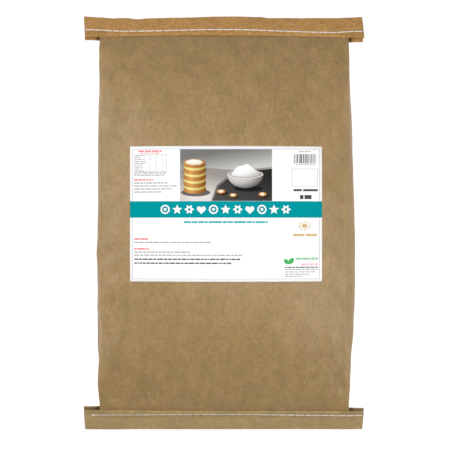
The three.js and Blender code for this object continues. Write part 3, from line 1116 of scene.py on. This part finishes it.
def needle_places(tape):
    """Where the needle went through the tape, a little unevenly spaced along X."""
    rng = random.Random(tape.seed)
    end = TAPE_LENGTH / 2 - 1.5 * MM
    count = round((end - tape.thread_start) / STITCH_PITCH)
    places = np.linspace(tape.thread_start, end, count + 1)
    places[1:-1] += [rng.uniform(-UNEVEN_STITCH, UNEVEN_STITCH) for _ in places[1:-1]]
    return places


def at_hole(tape, x, wide):
    """One at a needle hole, falling to nothing about that wide beside it."""
    return hump(np.abs(tape.needle - x).min(), wide)


def quilt(tape, x, along, ply):
    """The paper sinks a little along the row of stitches, most at each needle hole."""
    off = along - stitch_at(tape, x)
    sunk = tape.quilt * (0.4 + 0.6 * at_hole(tape, x, 2.5 * MM)) * hump(off, HOLD)
    lump = 0.16 * MM * noise.noise(Vector((x * 110, along * 160, tape.seed + ply)))
    return -sunk + lump


def tape_loop(tape, x):
    fold = fold_at(tape, x)
    rough = 0.25 * MM * noise.noise(Vector((x * 220, 0, tape.seed)))
    edges = {1: front_edge_at(tape, x) + rough, -1: back_edge_at(tape, x) - rough}

    def place(along, out):
        ply = 1 if out >= 0 else -1
        return (x + cut_shift(tape, x, along, ply), tape.end * along, seam_z(tape, x, along) + out)

    def face(ply, outer):
        thickness = TAPE_THICKNESS if outer else INNER_SKIN
        rounding = half_gap(tape, ply, x, MOUTH) + thickness
        turn = fold - TAPE_THICKNESS + thickness - rounding
        hold = stitch_at(tape, x)
        sections = [
            *np.linspace(edges[ply], hold - HOLD, 8)[:-1],
            *np.linspace(hold - HOLD, hold + HOLD, 5)[:-1],
            *np.linspace(hold + HOLD, turn, 6),
        ]
        made = []
        for along in sections:
            dimple = quilt(tape, x, along, ply) if outer else 0
            made.append(place(along, ply * (half_gap(tape, ply, x, along) + thickness + dimple)))
        for angle in np.linspace(0, math.pi / 2, 5)[1:-1]:
            made.append(place(turn + rounding * math.sin(angle), ply * rounding * math.cos(angle)))
        return made

    def skin(outer):
        thickness = TAPE_THICKNESS if outer else INNER_SKIN
        tip = place(fold - TAPE_THICKNESS + thickness, 0)
        return [*face(1, outer), tip, *reversed(face(-1, outer))]

    return [*skin(True), *reversed(skin(False))]


def tape_stations():
    half = PANEL_WIDTH / 2
    ear = list(np.linspace(half + EAR_CLOSE[0], half + EAR_CLOSE[1], 6))
    ear += list(np.linspace(half + 11 * MM, TAPE_LENGTH / 2, 5))
    return [*(-x for x in reversed(ear)), *np.linspace(-half, half, TAPE_CELLS + 1), *ear]


def make_tape(tape, material):
    loops = [tape_loop(tape, x) for x in tape_stations()]
    count = len(loops[0])
    points = np.array(loops).reshape(-1, 3)
    faces = loft_faces(len(loops), count)
    last = (len(loops) - 1) * count
    for i in range(count // 2 - 1):
        far = count - 1 - i
        faces.append((i + 1, i, far, far - 1))
        faces.append((last + i, last + i + 1, last + far - 1, last + far))
    piece = new_piece("closing_" + tape.name, points, outward(points, faces), material)
    add_values(piece.data, "shade", pocket_shade(tape, points))
    add_values(piece.data, "rub", edge_slope_light(tape, points))
    add_values(piece.data, "inner", inner_face(tape, points))
    return piece


def edge_slope_light(tape, points):
    """How far each point is up the slope at the front ply's edge, where it is painted lighter against the
    slope's shade.
    """
    x, y, z = points.T
    climb = smooth((stitch_at(tape, 0) + 0.8 * MM - np.abs(y)) / (3.5 * MM))
    return climb * (z > seam_z(tape, x, np.abs(y))) * smooth((PANEL_WIDTH / 2 - np.abs(x)) / (20 * MM))


def pocket_shade(tape, points):
    """How much painted shade darkens each point of a tape: in its pocket beside the sack, under the front
    ply's edge, in its needle holes and along a groove beside the thread.
    """
    x, y, z = points.T
    along = np.abs(y)
    past = np.abs(x) - PANEL_WIDTH / 2
    rim = back_edge_at(tape, x) + 0.7 * MM
    lip = front_edge_at(tape, x)
    strip = smooth((along - rim) / (1.0 * MM)) * (past > -3 * MM)
    corner = hump(past - 0.2 * MM, 1.6 * MM) * strip
    under_lip = 0.5 * smooth((along - lip + 1.1 * MM) / (0.8 * MM)) * (past > 0)
    deep = tape.dim * strip * (0.6 + 0.4 * np.exp(-np.maximum(0, past) / (8 * MM)))
    above = z - seam_z(tape, x, along)
    back = (above < 0) * np.max([corner, under_lip, deep], axis=0)
    off = along - np.array([stitch_at(tape, a) for a in x])
    hole_shade = np.array([at_hole(tape, a, 0.8 * MM) for a in x]) * hump(off, 0.9 * MM)
    groove_shade = tape.groove_shade * hump(off - 1.0 * MM, 0.6 * MM) * (x > tape.thread_start)
    return np.clip(back + (above > 0) * (0.6 * hole_shade + groove_shade), 0, 1)


def inner_face(tape, points):
    """One where the back ply shows its inner face beyond the front one."""
    x, y, z = points.T
    shown = smooth((front_edge_at(tape, x) + 1 * MM - np.abs(y)) / (1 * MM))
    return shown * (z < seam_z(tape, x, np.abs(y)))


# The sewing thread


def strand_loops(centres, radius, offset, phase, twist, sides=6):
    """Rings of one ply that winds round a line of centres."""
    ahead = np.gradient(centres, axis=0)
    ahead /= np.linalg.norm(ahead, axis=1, keepdims=True)
    across = np.cross(ahead, [0.0, 1.0, 0.0])
    across /= np.linalg.norm(across, axis=1, keepdims=True)
    up = np.cross(ahead, across)
    travelled = np.concatenate([[0], np.cumsum(np.linalg.norm(np.diff(centres, axis=0), axis=1))])
    angle = phase + 2 * np.pi * travelled / twist
    axis = centres + offset * (np.cos(angle)[:, None] * across + np.sin(angle)[:, None] * up)
    thin = np.ones(len(centres))
    thin[0] = thin[-1] = THIN_END
    rings = []
    for k in range(sides):
        a = 2 * np.pi * k / sides
        rings.append(axis + (radius * thin)[:, None] * (math.cos(a) * across + math.sin(a) * up))
    return np.stack(rings, 1)


def add_strand(parts, centres, radius, offset, twist, plies=3):
    """Adds one twisted strand of several plies to the points and faces in parts."""
    for k in range(plies):
        loops = strand_loops(centres, radius, offset, 2 * math.pi * k / plies, twist)
        rows, count = loops.shape[:2]
        start = len(parts["points"])
        parts["points"].extend(loops.reshape(-1, 3))
        for face in loft_faces(rows, count):
            parts["faces"].append(tuple(start + i for i in reversed(face)))
        parts["faces"].append(tuple(start + i for i in range(count)))
        parts["faces"].append(tuple(start + (rows - 1) * count + i for i in reversed(range(count))))


def surface_height(tape, ply, x, along):
    return half_gap(tape, ply, x, along) + TAPE_THICKNESS


def stitch_path(tape, ply, start, end, radius, sunk=SUNK_END):
    """One stitch: up out of its hole, along the tape and down into the next hole."""
    centres = []
    for t in np.linspace(0, 1, 19):
        x = start + (end - start) * t
        along = stitch_at(tape, x)
        rise = float(smooth(min(t, 1 - t) / STITCH_RISE))
        out = surface_height(tape, ply, x, along) - sunk + (sunk + radius) * rise
        centres.append((x, tape.end * along, seam_z(tape, x, along) + ply * out))
    return np.array(centres)


def make_thread(tape, material, front):
    """The row of stitches. On the front, front gives each one's thickness, gap and depth of its ends."""
    parts = {"points": [], "faces": []}
    places = tape.needle
    for a, b in zip(places[:-1], places[1:]):
        share, gap, sunk = front(a)
        radius, offset = PLY_RADIUS * share, PLY_OFFSET * share
        path = stitch_path(tape, 1, a + gap, b - gap, radius + offset, sunk)
        add_strand(parts, path, radius, offset, PLY_TWIST)
    for a, b in zip(places[:-1], places[1:]):
        for side in (-1, 1):
            path = stitch_path(tape, -1, a - 1.4 * MM, b + 0.4 * MM, BACK_PLY * 1.6)
            path[:, 1] += side * BACK_SPREAD * np.sin(np.linspace(0, math.pi, len(path)))
            add_strand(parts, path, BACK_PLY, BACK_PLY * 0.9, PLY_TWIST, 2)
    add_strand(parts, round_the_end(tape, places[-1]), PLY_RADIUS, PLY_OFFSET, PLY_TWIST)
    if tape.tail:
        tail = stitch_path(tape, 1, places[0] - 0.6 * MM, places[0] + tape.tail, PLY_RADIUS * 1.4)
        tail[:, 1] += tape.end * 0.5 * MM
        add_strand(parts, tail, PLY_RADIUS * 1.1, PLY_OFFSET * 0.8, PLY_TWIST)
    return new_piece("sewing_" + thread_name(tape), parts["points"], parts["faces"], material)


def thread_name(tape):
    return tape.name.replace("tape", "thread")


def round_the_end(tape, start):
    """The last stitch turns round the tape's cut end and tucks in behind it."""
    beyond = TAPE_LENGTH / 2 + cut_shift(tape, TAPE_LENGTH / 2, stitch_at(tape, start)) + 0.8 * MM
    centres = []
    for angle in np.linspace(-0.5 * math.pi, 0.5 * math.pi, 15):
        along = stitch_at(tape, start)
        half = surface_height(tape, 1, start, along) + 0.5 * MM
        x = start + (beyond - start) * math.cos(angle)
        centres.append((x, tape.end * along, seam_z(tape, start, along) - half * math.sin(angle)))
    return np.array(centres)


def full_dash(_):
    """The upper row: the same thickness, gap and depth of its ends all along."""
    return 1.0, 0.3 * MM, SUNK_END


def sunk_dash(x):
    """The lower row: an almost unbroken, thin line on the left, and plain stitches on the right."""
    loose = float(smooth((x - 20 * MM) / (60 * MM)))
    return 0.68 + 0.3 * loose, (0.05 + 0.2 * loose) * MM, (0.22 + 0.2 * loose) * MM


# Camera, light and floor


def make_camera():
    camera = bpy.data.objects.new("camera", bpy.data.cameras.new("camera"))
    camera.location = (*CAMERA_AXIS, CAMERA_HEIGHT)
    camera.data.lens = CAMERA_LENS
    camera.data.sensor_width = CAMERA_SENSOR
    camera.data.clip_end = CAMERA_REACH
    bpy.context.scene.collection.objects.link(camera)
    bpy.context.scene.camera = camera


def area_light(name, place, size, power):
    light = bpy.data.lights.new(name, "AREA")
    light.size = size
    light.energy = power
    holder = bpy.data.objects.new(name, light)
    holder.visible_camera = False
    holder.location = place
    holder.rotation_euler = (-Vector(place)).to_track_quat("-Z", "Y").to_euler()
    bpy.context.scene.collection.objects.link(holder)


def make_floor(material):
    """A round floor that curves up into a low wall far away, so that no horizon shows from low down."""
    profile = [(r, 0) for r in (0.3, 2, FLOOR_REACH - FLOOR_TURN)]
    for angle in np.linspace(0, math.pi / 2, 7)[1:]:
        out, up = FLOOR_TURN * math.sin(angle), FLOOR_TURN * (1 - math.cos(angle))
        profile.append((FLOOR_REACH - FLOOR_TURN + out, up))
    profile.append((FLOOR_REACH, WALL_HEIGHT))
    count = FLOOR_SIDES
    points = [(0, 0, 0)]
    for far, up in profile:
        turns = (2 * math.pi * k / count for k in range(count))
        points += [(far * math.cos(turn), far * math.sin(turn), up) for turn in turns]
    faces = [(0, 1 + k, 1 + (k + 1) % count) for k in range(count)]
    faces += [tuple(1 + i for i in reversed(face)) for face in loft_faces(len(profile), count)]
    return new_piece("floor", points, faces, material)


def make_stage():
    n = Nodes("floor_paint", 0.9, 0.1)
    n.shader.inputs["Emission Color"].default_value = (1, 1, 1, 1)
    n.shader.inputs["Emission Strength"].default_value = FLOOR_GLOW
    color = n.mix(n.remap(n.noise(4, 2), 0.3, 0.7), linear(186, 186, 186), linear(190, 190, 190))
    paint = n.finish(color, n.bump(n.noise(300, 2), 0.05 * MM, 0.2))
    make_floor(paint)
    world = bpy.data.worlds.new("studio")
    world.use_nodes = True
    background = world.node_tree.nodes["Background"]
    background.inputs["Color"].default_value = (1, 1, 1, 1)
    background.inputs["Strength"].default_value = WORLD_LIGHT
    bpy.context.scene.world = world
    area_light("overhead", **OVERHEAD)
    for azimuth, elevation, power in SOFT_BOXES:
        toward, above = math.radians(azimuth), math.radians(elevation)
        out = BOX_DISTANCE * math.cos(above)
        place = (out * math.cos(toward), out * math.sin(toward), BOX_DISTANCE * math.sin(above))
        area_light(f"soft_box_{azimuth}_{elevation}", place, BOX_SIZE, power)
    bpy.context.scene.view_settings.view_transform = "Standard"


def settle(piece, node):
    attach(piece, "root")
    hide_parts(node)


def main():
    make_camera()
    make_stage()
    sack = make_sack(kraft_paper())
    settle(sack, "sack")
    settle(make_label(printed_paper(), surface_of(sack)), "label")
    for tape in (TOP_TAPE, BOTTOM_TAPE):
        tape.needle = needle_places(tape)
        paper = tape.name + "_paper"
        settle(make_tape(tape, crepe_paper(paper, tape)), tape.name)
    threads = ((TOP_TAPE, "cotton_thread", full_dash), (BOTTOM_TAPE, "grey_cotton_thread", sunk_dash))
    for tape, material, dash in threads:
        thread = make_thread(tape, cotton(material, *tape.cotton), dash)
        settle(thread, thread_name(tape))


main()
